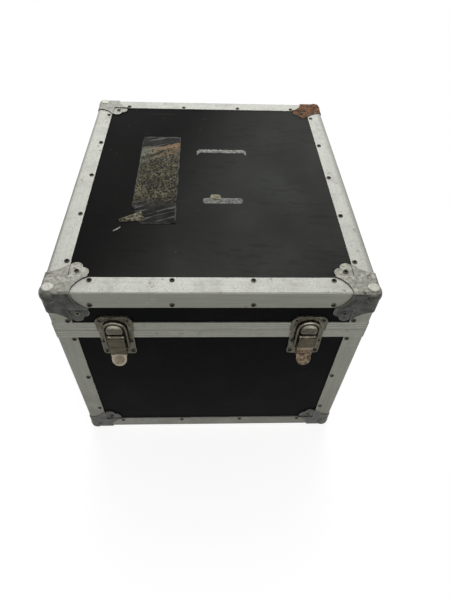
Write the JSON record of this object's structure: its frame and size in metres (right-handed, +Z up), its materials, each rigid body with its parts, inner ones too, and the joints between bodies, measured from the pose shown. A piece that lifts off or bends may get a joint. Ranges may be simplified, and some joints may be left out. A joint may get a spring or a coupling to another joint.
{
  "type": "transport case",
  "caption": "Aluminium-edged plywood transport case with ball corners, a hinged lid, draw latches on the front and folding side handles.",
  "frame": {"origin": "on the floor under the middle of the case", "axes": "+Z up, +X to the right as seen from the front, the front with the latches faces -Y"},
  "size_m": [0.4714, 0.5931, 0.4014],
  "materials": {
    "panel_facing": "satin black facing",
    "extrusion": "dull, scratched",
    "corner_steel": "dull zinc",
    "latch_nickel": "tarnished nickel",
    "hinge_steel": "dull zinc",
    "handle_steel": "dull zinc",
    "grip_rubber": "matte",
    "rivet_steel": "dull",
    "foam": "open-cell foam"
  },
  "bodies": {
    "base": {"base_back_panel": "panel_facing", "base_bottom_edge_back": "extrusion", "base_bottom_edge_front": "extrusion", "base_bottom_edge_left": "extrusion", "base_bottom_edge_right": "extrusion", "base_corner_back_left": "corner_steel", "base_corner_back_right": "corner_steel", "base_corner_front_left": "corner_steel", "base_corner_front_right": "corner_steel", "base_corner_posts": "extrusion", "base_floor_panel": "panel_facing", "base_foam_lining": "foam", "base_front_panel": "panel_facing", "base_left_panel": "panel_facing", "base_right_panel": "panel_facing", "base_rim_back": "extrusion", "base_rim_front": "extrusion", "base_rim_left": "extrusion", "base_rim_right": "extrusion", "base_rivets": "rivet_steel", "handle_left_dish": "handle_steel", "handle_right_dish": "handle_steel", "hinge_left_base_leaf": "hinge_steel", "hinge_pins": "hinge_steel", "hinge_right_base_leaf": "hinge_steel", "latch_left_plate": "latch_nickel", "latch_lever_pins": "latch_nickel", "latch_right_plate": "latch_nickel"},
    "handle_left": {"handle_left_bail": "handle_steel", "handle_left_grip": "grip_rubber"},
    "handle_right": {"handle_right_bail": "handle_steel", "handle_right_grip": "grip_rubber"},
    "lid": {"hinge_left_lid_leaf": "hinge_steel", "hinge_right_lid_leaf": "hinge_steel", "latch_left_keeper": "latch_nickel", "latch_right_keeper": "latch_nickel", "lid_back_panel": "panel_facing", "lid_corner_back_left": "corner_steel", "lid_corner_back_right": "corner_steel", "lid_corner_front_left": "corner_steel", "lid_corner_front_right": "corner_steel", "lid_corner_posts": "extrusion", "lid_foam": "foam", "lid_front_panel": "panel_facing", "lid_left_panel": "panel_facing", "lid_right_panel": "panel_facing", "lid_rim_back": "extrusion", "lid_rim_front": "extrusion", "lid_rim_left": "extrusion", "lid_rim_right": "extrusion", "lid_rivets": "rivet_steel", "lid_top_edge_back": "extrusion", "lid_top_edge_front": "extrusion", "lid_top_edge_left": "extrusion", "lid_top_edge_right": "extrusion", "lid_top_panel": "panel_facing"},
    "latch_left_lever": {"latch_left_lever": "latch_nickel"},
    "latch_left_loop": {"latch_left_loop": "latch_nickel"},
    "latch_right_lever": {"latch_right_lever": "latch_nickel"},
    "latch_right_loop": {"latch_right_loop": "latch_nickel"}
  },
  "joints": [
    {"name": "lid_hinge", "type": "hinge", "parent": "base", "child": "lid", "pos_m": [0, 0.2825, 0.3162], "axis": [-1, 0, 0], "range_deg": [0, 100]},
    {"name": "latch_left_lever_pivot", "type": "hinge", "parent": "base", "child": "latch_left_lever", "pos_m": [-0.143, -0.283, 0.3082], "axis": [-1, 0, 0], "range_deg": [0, 95]},
    {"name": "latch_left_loop_pivot", "type": "hinge", "parent": "latch_left_lever", "child": "latch_left_loop", "pos_m": [-0.143, -0.282, 0.2802], "axis": [-1, 0, 0], "range_deg": [-266, 0]},
    {"name": "latch_right_lever_pivot", "type": "hinge", "parent": "base", "child": "latch_right_lever", "pos_m": [0.143, -0.283, 0.3082], "axis": [-1, 0, 0], "range_deg": [0, 95]},
    {"name": "latch_right_loop_pivot", "type": "hinge", "parent": "latch_right_lever", "child": "latch_right_loop", "pos_m": [0.143, -0.282, 0.2802], "axis": [-1, 0, 0], "range_deg": [-266, 0]},
    {"name": "handle_left_swing", "type": "hinge", "parent": "base", "child": "handle_left", "pos_m": [-0.2205, 0, 0.185], "axis": [0, 1, 0], "range_deg": [0, 90]},
    {"name": "handle_right_swing", "type": "hinge", "parent": "base", "child": "handle_right", "pos_m": [0.2205, 0, 0.185], "axis": [0, -1, 0], "range_deg": [0, 90]}
  ],
  "couplings": [
    {"joint": "latch_left_loop_pivot", "follows": "latch_left_lever_pivot", "ratio": -2.8},
    {"joint": "latch_right_loop_pivot", "follows": "latch_right_lever_pivot", "ratio": -2.8}
  ]
}
